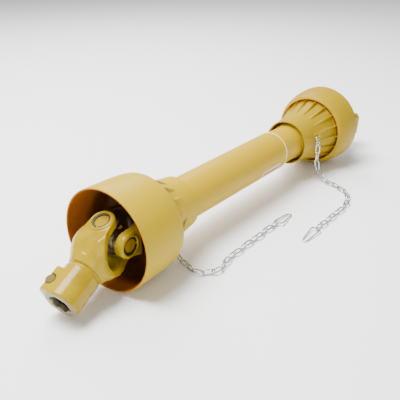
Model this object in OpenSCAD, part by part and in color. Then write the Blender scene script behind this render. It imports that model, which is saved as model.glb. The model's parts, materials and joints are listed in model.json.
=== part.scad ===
// Tractor power take-off drive shaft: two universal joints with splined push-pin yokes,
// a telescoping three-lobe tube and a plastic guard with two bells and two holding chains.
// X runs along the shaft axis from the near bell to the far bell, Z is up, the floor is Z = 0.

/* [Shaft] */
// Distance between the two universal joint centres
joint_span = 660; // [640:5:720]
// Distance of each joint centre inside its bell's rim
joint_inset = 12; // [6:1:16]
// Wall of both drive tubes
tube_wall = 4; // [3:0.25:4.5]
// Radius of the lobes of the outer drive tube
lobe_r = 11; // [10.5:0.25:11.5]
// Distance of each lobe's centre from the axis
lobe_offset = 15; // [14:0.25:15.5]
// Gap between the two drive tubes
tube_gap = 0.4; // [0.3:0.05:0.6]
// Length of the outer drive tube
outer_tube_len = 395; // [340:5:420]
// Length of the inner drive tube
inner_tube_len = 395; // [340:5:420]
// Radius of the spring pins that hold the drive tubes
tube_pin_r = 5; // [4:0.25:6]

/* [Universal joints] */
// Half of the width over the ears
ear_half = 41; // [40:0.5:43]
// Radius of an ear
ear_r = 20; // [19:0.25:21]
// Half of the gap between the ears
ear_gap = 26; // [25:0.25:27]
// Depth of the gap between the ears, from the joint centre
fork_depth = 46; // [45:0.5:50]
// Radius of a bearing cup
cup_r = 13.5; // [12.5:0.25:14]
// Half of the width over a pair of bearing cups
cup_half = 37.3; // [36.5:0.1:37.5]
// Length of a bearing cup
cup_len = 14; // [12:0.5:15]
// Thickness of the end of a bearing cup
cup_end = 2.4; // [2:0.1:3]
// Radius of a cross pin
cross_pin_r = 9.5; // [8.5:0.25:10]
// Running gap of the cross pin in its bearing cup
cup_play = 0.06; // [0.03:0.01:0.09]
// Half size of the cross body
cross_body = 15; // [13:0.5:16]
// Thickness of a retaining ring
ring_t = 1.6; // [1.2:0.1:1.8]

/* [Outer yokes] */
// Distance from the joint centre to the end face of the hub
hub_reach = 124; // [118:1:130]
// Radius of the hub
hub_r = 27.5; // [26:0.5:29]
// Radius over the spline grooves of the bore
spline_major_r = 17.45; // [17.3:0.05:17.6]
// Radius over the spline lands of the bore
spline_minor_r = 14.95; // [14.8:0.05:15.1]
// Width of a spline groove
spline_w = 8.7; // [8.4:0.1:9]
// Number of splines
spline_n = 6; // [6:1:6]
// Radius of the push pin
push_pin_r = 5.5; // [5:0.25:6]
// Travel of the push pin
push_travel = 8; // [7:0.25:8.5]
// Distance from the end face of the hub to the push pin
push_inset = 20; // [19:0.5:23]
// Downward tilt of the near outer yoke
near_droop = 23.5; // [15:0.5:25]
// Sideways swing of the near outer yoke
near_swing = 5; // [0:0.5:8]
// Downward tilt of the far outer yoke
far_droop = 12; // [6:0.5:25]
// Sideways swing of the far outer yoke
far_swing = 6; // [0:0.5:8]

/* [Inner yokes] */
// Radius of the inner yoke's shank
shank_r = 31; // [30.5:0.25:32]
// Distance from the joint centre to the bearing groove
groove_x = 66; // [64:0.5:68]
// Width of the bearing groove
groove_w = 10; // [9:0.5:12]
// Radius of the bottom of the bearing groove
groove_r = 28; // [27.5:0.25:28.5]
// Distance from the joint centre to the end of the shank
shank_end = 104; // [98:1:108]
// Depth of the tube socket in the shank
socket_depth = 36; // [30:1:38]

/* [Guard] */
// Radius of the bell rim
rim_r = 82; // [80:1:84]
// Length of a bell from its rim to the mouth of its collar
bell_len = 164; // [160:1:168]
// Wall of a bell
bell_wall = 2.5; // [2:0.25:3]
// Radius of the collar at its mouth
collar_r = 45; // [44.5:0.25:46]
// Length of the near bell's collar
near_collar_len = 36; // [34:0.5:38]
// Length of the far bell's collar
far_collar_len = 53; // [51:0.5:55]
// Radius of the collar at its root
collar_root_r = 49.5; // [49:0.25:51]
// Length of the near bell's ribbed cone
near_cone_len = 40; // [38:0.5:42]
// Length of the far bell's ribbed cone
far_cone_len = 48; // [46:0.5:50]
// Radius of the near bell's edge above the ribs
near_edge_r = 76; // [74:0.5:77]
// Radius of the far bell's edge above the ribs
far_edge_r = 69; // [66:0.5:71]
// Number of ribs
rib_n = 18; // [16:1:20]
// Thickness of a rib
rib_t = 2.2; // [1.8:0.1:2.6]
// Radius of the outer guard tube
guard_r = 37.5; // [37:0.1:38]
// Wall of both guard tubes
guard_wall = 2.2; // [1.8:0.1:2.3]
// Gap between the two guard tubes
guard_gap = 0.3; // [0.25:0.05:0.4]
// Length of the outer guard tube
outer_guard_len = 328; // [318:1:340]
// Length of the inner guard tube
inner_guard_len = 345; // [320:5:350]

/* [Chains] */
// Thickness of the chain wire
chain_wire = 2.6; // [2.4:0.1:2.8]
// Length inside a link
link_inside = 18; // [17.5:0.25:19]
// Width over a link
link_width = 10.8; // [10.6:0.1:11.2]
// Thickness of the hook wire
hook_wire = 2.8; // [2.6:0.1:3]
// Radius of the two loops of an S hook
hook_loop_r = 5; // [4.8:0.1:5.4]
// Length of a snap hook over its loops
snap_len = 54; // [50:1:60]

/* [Hidden] */
$fn = 64;
slack = 0.02;

// Colours
paint_yellow = [0.86, 0.72, 0.2];
guard_yellow = [0.82, 0.7, 0.4];
steel_grey = [0.55, 0.53, 0.5];
dark_steel = [0.38, 0.36, 0.33];
zinc = [0.78, 0.8, 0.82];
nylon_white = [0.9, 0.89, 0.84];
seal_brown = [0.3, 0.26, 0.2];

// Places along the shaft, from the rim of the near bell
axis_height = rim_r;
shaft_len = joint_span + 2 * joint_inset;
near_joint_x = joint_inset;
far_joint_x = shaft_len - joint_inset;
near_mouth_x = bell_len;
far_mouth_x = shaft_len - bell_len;

// Outer yoke
fork_arc_x = fork_depth - ear_gap;
fork_base_r = 32;
fork_base_x = 56;
neck_x = 66;
neck_w = 5;
neck_r = 24;
hub_start = neck_x + neck_w;
face_chamfer = 2;
boss_out = 31;
boss_top = 27;
boss_low = -22;
boss_corner_r = 35.5;
boss_start = hub_reach - 42;
push_x = hub_reach - push_inset;
pin_play = 0.08;
head_play = 0.9;
pin_y = spline_minor_r + push_pin_r + 0.1;
pin_head_r = push_pin_r + 2.5;
waist_r = pin_y - spline_major_r - 0.6;
waist_half = 8.5;
head_top = boss_top - 1.4;
head_len = 6;
head_bore_low = boss_top - head_len - push_travel - 0.7;
clip_t = 1.4;
clip_r = push_pin_r + 2;
clip_seat_r = push_pin_r - 0.9;
clip_top = boss_low - 0.3;
spring_wire = 1;
spring_turns = 3;

// Cross and bearing cups
cup_bore_r = cup_r - 0.03;
cross_pin_end = cup_half - cup_end - 0.5;
seal_r = cross_pin_r + 3.5;
seal_t = 2.6;
ring_seat = cup_half + 0.05;

// Inner yoke
ring_play = 0.05;
ring_split = 2;
bearing_ring_r = 43.9;
bearing_ring_t = groove_w - 0.6;

// Bell profile, measured from the mouth of the collar
rib_rise = 8;
ring_x = bell_len - joint_inset - groove_x - groove_w / 2;
sleeve_r = bearing_ring_r + 0.1;
sleeve_wall = 2.4;
sleeve_to = ring_x + groove_w / 2 + 3;
mouth_wall = 2.6;
seat_from = 6;
seat_wall = 2.4;
seat_inset = 5;
screw_n = 3;
screw_r = 2;
screw_x = seat_from + 9;

// Chain eye and S hook
eye_x = 38;
eye_t = 3;
eye_hole_r = 3.2;
eye_reach = 54.5;
near_eye_angle = -64;
far_eye_angle = 15;
hook_r = hook_wire / 2;
hook_rise = eye_hole_r - hook_r - 0.3;
near_hook_lean = -14;
near_snap_turn = 3;
far_snap_turn = 182;
far_hook_lean = -6;

// Chains: each link is [heading, descent, roll] in degrees
link_r = chain_wire / 2;
link_gap = 0.9;
link_pitch = link_inside - link_gap;
link_mid = (link_width - chain_wire) / 2;
floor_z = -axis_height;
hang = link_gap / 2 + chain_wire / 2;
hook_seat = hook_r + link_r + 0.3 - hang;
link_z = floor_z + link_width / 2 + slack;
snap_wide_r = 8;
snap_tip_r = 4.2;
snap_tilt = asin((link_z - floor_z - hook_r - slack) / (snap_len - hook_wire));
function land(z) = asin((z - link_z) / link_pitch);

// The wire of each S hook's lower loop, where the first link hangs
hook_drop = 4 * hook_loop_r;
function lean(a, v) = [v[0], v[1] * cos(a) - v[2] * sin(a), v[1] * sin(a) + v[2] * cos(a)];
function eye_pos(x, a) = [x, -eye_reach * cos(a), eye_reach * sin(a)];
near_eye = eye_pos(near_mouth_x - eye_x, near_eye_angle);
far_eye = eye_pos(far_mouth_x + eye_x, far_eye_angle);
near_hook_end = near_eye + lean(near_hook_lean, [0, 0, -hook_drop]);
far_hook_end = far_eye + lean(far_hook_lean, [0, 0, -hook_drop]);

function unit(t) = [cos(t[0]) * cos(t[1]), sin(t[0]) * cos(t[1]), -sin(t[1])];
function walk(start, turns, i = 0) =
  i == len(turns) ? [start] : concat([start], walk(start + link_pitch * unit(turns[i]), turns, i + 1));

near_land = land(near_hook_end[2]);
near_start = near_hook_end - hook_seat * unit([-104, near_land]);
near_chain_turns = [
  [-104, near_land, 90], [-110, 0, 0], [-110, 0, 90], [-78, 0, 0], [-44, 0, 90], [-12, 0, 0],
  [16, 0, 90], [14, 0, 0], [2, 0, 90], [-2, 0, 0], [6, 0, 90], [0, 0, 0], [-4, 0, 90],
  [2, 0, 0], [5, 0, 90], [-4, 0, 0], [-6, 0, 90]
];
near_points = walk(near_start, near_chain_turns);
far_drop_turns = [[-90, 90, 90], [-90, 90, 0], [-92, 78, 90], [-98, 48, 0]];
far_start = far_hook_end - hook_seat * unit(far_drop_turns[0]);
far_drop_points = walk(far_start, far_drop_turns);
far_run_start = far_drop_points[len(far_drop_turns)];
far_chain_turns = [
  [-104, land(far_run_start[2]), 90], [-108, 0, 0], [-112, 0, 90], [-118, 0, 0], [-134, 0, 90],
  [-148, 0, 0], [-158, 0, 90], [-166, 0, 0], [-174, 0, 90], [-180, 0, 0], [-184, 0, 90], [-176, 0, 0],
  [-182, 0, 90], [-179, 0, 0], [-183, 0, 90]
];
far_points = walk(far_run_start, far_chain_turns);

// The origin: below the middle of the whole part, on the floor
near_face_x = cos(near_droop) * cos(near_swing);
far_face_x = cos(far_droop) * cos(far_swing);
low_x = near_joint_x - hub_reach * near_face_x - hub_r * sqrt(1 - pow(near_face_x, 2));
high_x = far_joint_x + hub_reach * far_face_x + hub_r * sqrt(1 - pow(far_face_x, 2));
low_y = far_points[len(far_chain_turns)][1] - snap_wide_r - hook_r;
middle = [(low_x + high_x) / 2, (low_y + rim_r) / 2, -axis_height];

// Frames: everything below is drawn with the near rim at X = 0 and the axis at Z = 0
module near_joint() { translate([near_joint_x, 0, 0]) children(); }
module far_joint() { translate([far_joint_x, 0, 0]) mirror([1, 0, 0]) children(); }
module near_yoke_frame() {
  near_joint() rotate([0, -near_droop, 0]) rotate([0, 0, 180 + near_swing]) children();
}
module far_yoke_frame() {
  translate([far_joint_x, 0, 0]) rotate([0, far_droop, 0]) rotate([0, 0, -far_swing]) children();
}
module near_cross_frame() { near_joint() rotate([0, -near_droop, 0]) children(); }
module far_cross_frame() { translate([far_joint_x, 0, 0]) rotate([0, far_droop, 0]) children(); }
module near_bell_frame() { translate([near_mouth_x, 0, 0]) mirror([1, 0, 0]) children(); }
module far_bell_frame() { translate([far_mouth_x, 0, 0]) children(); }

// Round bar along X from a to b
module bar(r, a, b) { translate([a, 0, 0]) rotate([0, 90, 0]) cylinder(r = r, h = b - a); }
// A turned piece along X from a profile of [x, r]
module turned(profile) {
  rotate([0, 90, 0]) rotate_extrude($fn = 96) polygon([for (p = profile) [p[1], p[0]]]);
}

// Fork with its ears along Z and its hub along X
module fork_side() {
  difference() {
    union() {
      translate([-ear_r, -ear_half]) square([ear_r + 14, 2 * ear_half]);
      polygon([
        [14, -ear_half], [30, -ear_half + 1.5], [44, -ear_half + 5.5], [fork_base_x, -fork_base_r + 2],
        [fork_base_x, fork_base_r - 2], [44, ear_half - 5.5], [30, ear_half - 1.5], [14, ear_half]
      ]);
    }
    translate([-ear_r - 1, -ear_gap]) square([ear_r + 1 + fork_arc_x, 2 * ear_gap]);
    translate([fork_arc_x, 0]) circle(r = ear_gap);
  }
}
module fork_plan() {
  circle(r = ear_r);
  polygon([
    [-2, -ear_r + 0.1], [14, -ear_r - 1.5], [34, -fork_base_r + 3], [46, -fork_base_r],
    [fork_base_x, -fork_base_r], [fork_base_x, fork_base_r],
    [46, fork_base_r], [34, fork_base_r - 3], [14, ear_r + 1.5], [-2, ear_r - 0.1]
  ]);
}
// The bulk that rounds a fork off, so that no square corner is left at its base
module fork_round() {
  turned([[-ear_r - 1, 0], [-ear_r - 1, 46], [18, 46], [36, 43], [48, 37.5],
    [fork_base_x, fork_base_r], [fork_base_x, 0]]);
}
module fork_cup_bores() {
  cylinder(r = cup_bore_r, h = 2 * ear_half + 2, center = true);
  for (side = [-1, 1]) {
    translate([0, 0, side * (ring_seat + ring_t / 2)])
      cylinder(r = cup_r + 1, h = ring_t + 0.1, center = true);
  }
}
module ear_faces() {
  for (side = [0, 1]) {
    mirror([0, 0, side]) translate([0, 0, ear_half - 3]) difference() {
      cylinder(r1 = ear_r, r2 = ear_r - 3, h = 3);
      translate([0, 0, -1]) cylinder(r = cup_r + 0.5, h = 5);
    }
  }
}
module fork() {
  difference() {
    union() {
      intersection() {
        rotate([90, 0, 0]) linear_extrude(height = 4 * ear_half, center = true) fork_side();
        linear_extrude(height = 2 * ear_half - 5, center = true) fork_plan();
        fork_round();
      }
      ear_faces();
    }
    fork_cup_bores();
  }
}

module spline_bore(from, to) {
  translate([from, 0, 0]) rotate([0, 90, 0]) linear_extrude(height = to - from) {
    circle(r = spline_minor_r);
    intersection() {
      circle(r = spline_major_r);
      for (i = [0 : spline_n - 1]) {
        rotate(i * 360 / spline_n) translate([0, -spline_w / 2]) square([spline_major_r + 1, spline_w]);
      }
    }
  }
}

// Outer yoke: ears along Z, hub along X, push pin parallel to Z on the side of -Y
module hub_section() {
  circle(r = hub_r);
  intersection() {
    translate([-boss_top, -boss_out]) square([boss_top - boss_low, boss_out]);
    circle(r = boss_corner_r);
  }
}
module outer_yoke() {
  difference() {
    union() {
      fork();
      turned([[fork_depth - 4, 0], [fork_depth - 4, 20], [fork_base_x - 6, fork_base_r],
        [fork_base_x, fork_base_r], [neck_x - 4, hub_r + 1.5], [neck_x, hub_r], [neck_x, neck_r],
        [hub_start, neck_r], [hub_start, hub_r], [hub_reach - face_chamfer, hub_r],
        [hub_reach, hub_r - face_chamfer], [hub_reach, 0]]);
      translate([boss_start, 0, 0]) rotate([0, 90, 0])
        linear_extrude(height = hub_reach - face_chamfer - boss_start) hub_section();
    }
    translate([fork_arc_x, 0, 0]) rotate([90, 0, 0]) cylinder(r = ear_gap, h = 60, center = true);
    bar(spline_major_r + 0.6, fork_depth - 8, hub_start + 6);
    spline_bore(hub_start + 5, hub_reach + 1);
    translate([hub_reach - 1.5, 0, 0]) rotate([0, 90, 0])
      cylinder(r1 = spline_minor_r, r2 = spline_major_r + 1.6, h = 3);
    translate([push_x, -pin_y, 0]) push_pin_bore();
  }
}
module push_pin_bore() {
  translate([0, 0, boss_low - 9]) cylinder(r = push_pin_r + pin_play, h = boss_top - boss_low + 10);
  translate([0, 0, head_bore_low]) cylinder(r = pin_head_r + head_play, h = boss_top - head_bore_low + 1);
  translate([0, 0, boss_low - 9]) cylinder(r = clip_r + 0.6, h = 9);
}
// Push pin: head up, a narrow waist above its locking length, and a groove for its clip below
module push_pin() {
  rotate_extrude($fn = 48) polygon([
    [0, head_top], [pin_head_r - 1, head_top], [pin_head_r, head_top - 1],
    [pin_head_r, boss_top - head_len], [push_pin_r, boss_top - head_len],
    [push_pin_r, push_travel + waist_half + 1.5], [waist_r, push_travel + waist_half],
    [waist_r, push_travel - waist_half], [push_pin_r, push_travel - waist_half - 1.5],
    [push_pin_r, clip_top], [clip_seat_r, clip_top], [clip_seat_r, clip_top - clip_t],
    [push_pin_r, clip_top - clip_t], [push_pin_r - 1, clip_top - clip_t - 2], [0, clip_top - clip_t - 2]
  ]);
}
module pin_clip() {
  translate([0, 0, clip_top - clip_t + slack]) difference() {
    cylinder(r = clip_r, h = clip_t - 2 * slack);
    translate([0, 0, -1]) cylinder(r = clip_seat_r + slack, h = clip_t + 2);
    translate([0, -clip_seat_r, -1]) cube([clip_r + 1, 2 * clip_seat_r, clip_t + 2]);
  }
}
module coil(r, wire, turns, height, sides = 6, steps = 10) {
  n = turns * steps;
  points = [
    for (i = [0 : n], j = [0 : sides - 1])
      let (a = 360 * i / steps, b = 360 * j / sides, m = r + wire * cos(b))
        [m * cos(a), m * sin(a), height * i / n + wire * sin(b)]
  ];
  walls = [
    for (i = [0 : n - 1], j = [0 : sides - 1])
      let (k = (j + 1) % sides)
        [i * sides + j, (i + 1) * sides + j, (i + 1) * sides + k, i * sides + k]
  ];
  ends = [[for (j = [0 : sides - 1]) j], [for (j = [sides - 1 : -1 : 0]) n * sides + j]];
  polyhedron(points = points, faces = concat(walls, ends));
}
module pin_spring() {
  low = head_bore_low + spring_wire + 0.15;
  high = boss_top - head_len - spring_wire - 0.15;
  translate([0, 0, low]) coil(pin_head_r - spring_wire - 0.1, spring_wire, spring_turns, high - low);
}

// Cross: pins along Y (inner yoke) and Z (outer yoke)
module cross_arms() {
  for (turn = [0, 90]) {
    rotate([turn, 0, 0]) {
      cylinder(r = cross_pin_r, h = 2 * cross_pin_end, center = true);
      cylinder(r = cross_pin_r + 2.2, h = 2 * (cross_body + 4), center = true);
    }
  }
}
module cross_piece() {
  difference() {
    union() {
      cross_arms();
      sphere(r = cross_body + 2.5);
    }
    for (turn = [0, 90]) {
      rotate([turn, 0, 0]) cylinder(r = 2.5, h = 2 * cross_pin_end + 2, center = true);
    }
    rotate([0, 90, 0]) cylinder(r = 3, h = cross_body + 9);
  }
}
module cross_seals() {
  for (a = [0 : 90 : 270]) {
    rotate([a, 0, 0]) translate([0, 0, cross_body + 4.1]) difference() {
      cylinder(r1 = seal_r - 1.2, r2 = seal_r, h = seal_t);
      translate([0, 0, -1]) cylinder(r = cross_pin_r + slack, h = seal_t + 2);
    }
  }
}
module grease_nipple() {
  rotate([0, 90, 0]) {
    translate([0, 0, cross_body - 4]) cylinder(r = 3 - slack, h = 6.5);
    translate([0, 0, cross_body + 2.5]) cylinder(r = 4, h = 3, $fn = 6);
    translate([0, 0, cross_body + 5.5]) cylinder(r = 2, h = 2);
    translate([0, 0, cross_body + 7.5]) cylinder(r1 = 2, r2 = 3.2, h = 2);
    translate([0, 0, cross_body + 9.5]) cylinder(r1 = 3.2, r2 = 1.4, h = 2);
  }
}
// A pair of bearing cups along Z
module cup_pair() {
  for (side = [0, 1]) {
    mirror([0, 0, side]) translate([0, 0, cup_half - cup_len]) difference() {
      cylinder(r = cup_bore_r - slack, h = cup_len);
      translate([0, 0, -1]) cylinder(r = cross_pin_r + cup_play, h = cup_len - cup_end + 1);
    }
  }
}
module ring_pair() {
  for (side = [0, 1]) {
    mirror([0, 0, side]) translate([0, 0, ring_seat]) difference() {
      cylinder(r = cup_r + 1 - slack, h = ring_t);
      translate([0, 0, -1]) cylinder(r = cup_r - 2.6, h = ring_t + 2);
      translate([cup_r - 4, -2.5, -1]) cube([8, 5, ring_t + 2]);
    }
  }
}

// Three-lobe section
module lobes(r) {
  for (i = [0 : 2]) rotate(i * 120) translate([lobe_offset, 0]) circle(r = r);
  polygon([
    for (i = [0 : 2], s = [-60, 60])
      let (a = i * 120, m = r - 0.03)
        [lobe_offset * cos(a) + m * cos(a + s), lobe_offset * sin(a) + m * sin(a + s)]
  ]);
}
module lobe_tube(r, from, to) {
  translate([from, 0, 0]) rotate([0, 90, 0]) linear_extrude(height = to - from) difference() {
    lobes(r);
    lobes(r - tube_wall);
  }
}
inner_lobe_r = lobe_r - tube_wall - tube_gap;
tube_start = shank_end - socket_depth;

// Inner yoke: ears along Y, shank along X
module inner_yoke(socket_r) {
  difference() {
    union() {
      rotate([90, 0, 0]) fork();
      turned([[fork_depth - 4, 0], [fork_depth - 4, 20], [fork_base_x - 6, fork_base_r],
        [fork_base_x, fork_base_r], [groove_x - 3, shank_r], [groove_x, shank_r], [groove_x, groove_r],
        [groove_x + groove_w, groove_r], [groove_x + groove_w, shank_r], [shank_end - 2, shank_r],
        [shank_end, shank_r - 2], [shank_end, 0]]);
    }
    translate([fork_arc_x, 0, 0]) cylinder(r = ear_gap, h = 60, center = true);
    translate([tube_start, 0, 0]) rotate([0, 90, 0])
      linear_extrude(height = socket_depth + 1) lobes(socket_r + slack);
    translate([tube_pin_x, 0, 0]) cylinder(r = tube_pin_r, h = 2 * shank_r + 2, center = true);
  }
}
tube_pin_x = shank_end - 14;
module tube_pin() {
  translate([tube_pin_x, 0, 0]) difference() {
    cylinder(r = tube_pin_r - slack, h = 2 * shank_r - 2, center = true);
    cylinder(r = tube_pin_r - 1.8, h = 2 * shank_r, center = true);
    translate([0, -0.8, -shank_r]) cube([tube_pin_r + 1, 1.6, 2 * shank_r]);
  }
}
module drive_tube(r, length) {
  difference() {
    lobe_tube(r, tube_start + 0.1, tube_start + length);
    translate([tube_pin_x, 0, 0]) cylinder(r = tube_pin_r, h = 2 * shank_r, center = true);
  }
}

// Bell, drawn from the mouth of its collar at X = 0 to its rim at X = bell_len
// Its shape is a list of the collar's length, the cone's length and the radius of its edge
bell_steps = 9;
near_shape = [near_collar_len, near_cone_len, near_edge_r];
far_shape = [far_collar_len, far_cone_len, far_edge_r];
function cone_end(shape) = shape[0] + shape[1];
function floor_end_r(shape) = shape[2] - rib_rise;
function bell_curve(t, from_r, to_r) = from_r + (to_r - from_r) * pow(1 - pow(1 - t, 2.3), 1 / 1.9);
function bell_outer(t, shape) =
  [cone_end(shape) + (bell_len - cone_end(shape)) * t, bell_curve(t, shape[2], rim_r)];
module bell_shell(shape) {
  root = shape[0];
  edge = cone_end(shape);
  edge_r = shape[2];
  outer = [for (i = [0 : bell_steps]) bell_outer(pow(i / bell_steps, 1.5), shape)];
  inner = [for (i = [bell_steps : -1 : 2]) bell_outer(pow(i / bell_steps, 1.5), shape) + [-0.15, -bell_wall]];
  turned(concat(
    [[0, collar_r], [root, collar_root_r], [edge + 1, floor_end_r(shape)], [edge + 1, edge_r - 2.5],
      [edge - 0.5, edge_r - 1.5]],
    outer, [[bell_len, rim_r - bell_wall]],
    [for (p = inner) if (p[0] > edge + 5 && p[0] < bell_len - 1) p],
    [[edge + 3.6, edge_r - 4], [edge + 3.6, floor_end_r(shape) - 2.2],
      [root + 4, collar_root_r - 1.8], [root - 3, collar_root_r - 2.4],
      [1, collar_r - mouth_wall], [0, collar_r - 1.4]]
  ));
}
module bell_ribs(shape) {
  root = shape[0];
  edge = cone_end(shape) + 1.5;
  for (i = [0 : rib_n - 1]) {
    rotate([(i + 0.5) * 360 / rib_n, 0, 0]) rotate([90, 0, 0])
      linear_extrude(height = rib_t, center = true) polygon([
        [root - 1, collar_root_r - 1], [root, collar_root_r + 0.3],
        [edge, shape[2] - 1.2], [edge, floor_end_r(shape) - 1]
      ]);
  }
}
// The sleeve that holds the bearing ring, and its web to the cone
module bell_sleeve(root) {
  turned([[root + 3, collar_root_r - 1], [root + 3, sleeve_r], [sleeve_to, sleeve_r],
    [sleeve_to, sleeve_r + sleeve_wall], [root + 6, sleeve_r + sleeve_wall],
    [root + 6, collar_root_r - 0.6]]);
}
// The seat for the guard tube, and its web to the collar
module bell_seat(tube_r, root) {
  seat_to = root - seat_inset;
  turned([[seat_from, tube_r], [seat_to, tube_r], [seat_to, collar_root_r - 1.5],
    [seat_to - 3, collar_root_r - 1.5], [seat_to - 3, tube_r + seat_wall], [seat_from, tube_r + seat_wall]]);
}
module bell_eye(angle) {
  rotate([90 - angle, 0, 0]) translate([eye_x, 0, 0]) rotate([0, 90, 0])
    linear_extrude(height = eye_t, center = true) {
      translate([-eye_reach - hook_rise * sin(angle), hook_rise * cos(angle)]) circle(r = 6.4, $fn = 48);
      polygon([[-eye_reach, -6], [-collar_r + 0.5, -8], [-collar_r + 0.5, 8], [-eye_reach, 6]]);
    }
}
module bell(tube_r, shape, angle) {
  difference() {
    union() {
      bell_shell(shape);
      bell_ribs(shape);
      bell_sleeve(shape[0]);
      bell_seat(tube_r + slack, shape[0]);
      bell_eye(angle);
    }
    translate([eye_x, -eye_reach * cos(angle), eye_reach * sin(angle) + hook_rise])
      rotate([0, 90, 0]) cylinder(r = eye_hole_r, h = 12, center = true);
    screw_places() translate([0, 0, tube_r - 4]) cylinder(r = screw_r, h = 8);
  }
}
module screw_places() {
  for (i = [0 : screw_n - 1]) {
    rotate([i * 360 / screw_n + 45, 0, 0]) translate([screw_x, 0, 0]) children();
  }
}
module guard_screws(tube_r) {
  screw_places() {
    translate([0, 0, tube_r - guard_wall]) cylinder(r = screw_r - slack, h = guard_wall + seat_wall + 0.2);
    translate([0, 0, tube_r + seat_wall + 0.2]) cylinder(r1 = 3.6, r2 = 2.4, h = 1.6);
  }
}
module guard_tube(r, from, length) {
  difference() {
    bar(r, from, from + length);
    bar(r - guard_wall, from - 1, from + length + 1);
    children();
  }
}
module bearing_ring() {
  translate([ring_x - bearing_ring_t / 2, 0, 0]) rotate([0, 90, 0]) difference() {
    cylinder(r = bearing_ring_r, h = bearing_ring_t, $fn = 96);
    translate([0, 0, -1]) cylinder(r = groove_r + ring_play, h = bearing_ring_t + 2, $fn = 96);
    translate([0, -ring_split / 2, -1]) cube([bearing_ring_r + 1, ring_split, bearing_ring_t + 2]);
  }
}

// A bent wire arc in the XZ plane
module wire_arc(r, wire_r, from, to) {
  rotate([90, 0, 0]) rotate_extrude(angle = to - from, start = from, $fn = 48)
    translate([r, 0]) circle(r = wire_r, $fn = 24);
}
// S hook hanging down from its wire at the origin, in the XZ plane
module s_hook() {
  translate([0, 0, -hook_loop_r]) wire_arc(hook_loop_r, hook_r, -90, 205);
  translate([0, 0, -3 * hook_loop_r]) wire_arc(hook_loop_r, hook_r, 90, 385);
}
// Chain link along X, flat in the XY plane
module link() {
  straight = link_inside + chain_wire - 2 * link_mid;
  for (side = [-1, 1]) {
    translate([side * straight / 2, 0, 0]) rotate([0, 0, side > 0 ? -90 : 90])
      rotate_extrude(angle = 180, $fn = 32) translate([link_mid, 0]) circle(r = link_r, $fn = 16);
    translate([-straight / 2, side * link_mid, 0]) rotate([0, 90, 0])
      cylinder(r = link_r, h = straight, $fn = 16);
  }
}
module chain(points, turns) {
  for (i = [0 : len(turns) - 1]) {
    translate((points[i] + points[i + 1]) / 2) rotate([turns[i][2], turns[i][1], turns[i][0]]) link();
  }
}
// Snap hook of bent wire along X: its wide loop holds the last link, and its narrow tip lies on the floor
module snap_hook() {
  wide = snap_wide_r;
  tip = snap_tip_r;
  run = snap_len - wide - tip - hook_wire;
  a = asin((wide - tip) / run);
  translate([wide - hook_seat, 0, 0]) {
    rotate([0, 0, 90 - a]) rotate_extrude(angle = 180 + 2 * a, $fn = 48)
      translate([wide, 0]) circle(r = hook_r, $fn = 20);
    translate([run, 0, 0]) rotate([0, 0, -90 + a]) rotate_extrude(angle = 180 - 2 * a, $fn = 48)
      translate([tip, 0]) circle(r = hook_r, $fn = 20);
    for (side = [-1, 1]) {
      translate([wide * sin(a), side * wide * cos(a), 0]) rotate([0, 0, -side * a])
        bar(hook_r - 0.05, -0.3, run * cos(a) + 0.3);
    }
  }
}

// Near end
module near_outer_yoke() { color(paint_yellow) near_yoke_frame() outer_yoke(); }
module near_outer_cups() { color(steel_grey) near_yoke_frame() cup_pair(); }
module near_outer_rings() { color(dark_steel) near_yoke_frame() ring_pair(); }
module near_push_pin() { color(steel_grey) near_yoke_frame() translate([push_x, -pin_y, 0]) push_pin(); }
module near_pin_spring() { color(zinc) near_yoke_frame() translate([push_x, -pin_y, 0]) pin_spring(); }
module near_pin_clip() { color(dark_steel) near_yoke_frame() translate([push_x, -pin_y, 0]) pin_clip(); }
module near_cross() { color(steel_grey) near_cross_frame() cross_piece(); }
module near_cross_seals() { color(seal_brown) near_cross_frame() cross_seals(); }
module near_grease_nipple() { color(zinc) near_cross_frame() grease_nipple(); }
module near_inner_yoke() { color(paint_yellow) near_joint() inner_yoke(lobe_r); }
module near_inner_cups() { color(steel_grey) near_joint() rotate([90, 0, 0]) cup_pair(); }
module near_inner_rings() { color(dark_steel) near_joint() rotate([90, 0, 0]) ring_pair(); }
module near_tube_pin() { color(dark_steel) near_joint() tube_pin(); }
module outer_drive_tube() { color(steel_grey) near_joint() drive_tube(lobe_r, outer_tube_len); }
module near_bell() { color(guard_yellow) near_bell_frame() bell(guard_r, near_shape, near_eye_angle); }
module near_bearing_ring() { color(nylon_white) near_bell_frame() bearing_ring(); }
module near_guard_screws() { color(zinc) near_bell_frame() guard_screws(guard_r); }
outer_guard_start = near_mouth_x - near_collar_len + seat_inset;
module outer_guard_tube() {
  color(guard_yellow) guard_tube(guard_r, outer_guard_start, outer_guard_len)
    near_bell_frame() screw_places() cylinder(r = screw_r, h = guard_r + 2);
}
module near_s_hook() { color(zinc) translate(near_eye) rotate([near_hook_lean, 0, 0]) s_hook(); }
module near_chain() { color(zinc) chain(near_points, near_chain_turns); }
module near_snap_hook() {
  color(zinc) translate(near_points[len(near_chain_turns)]) rotate([0, snap_tilt, near_snap_turn]) snap_hook();
}

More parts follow.
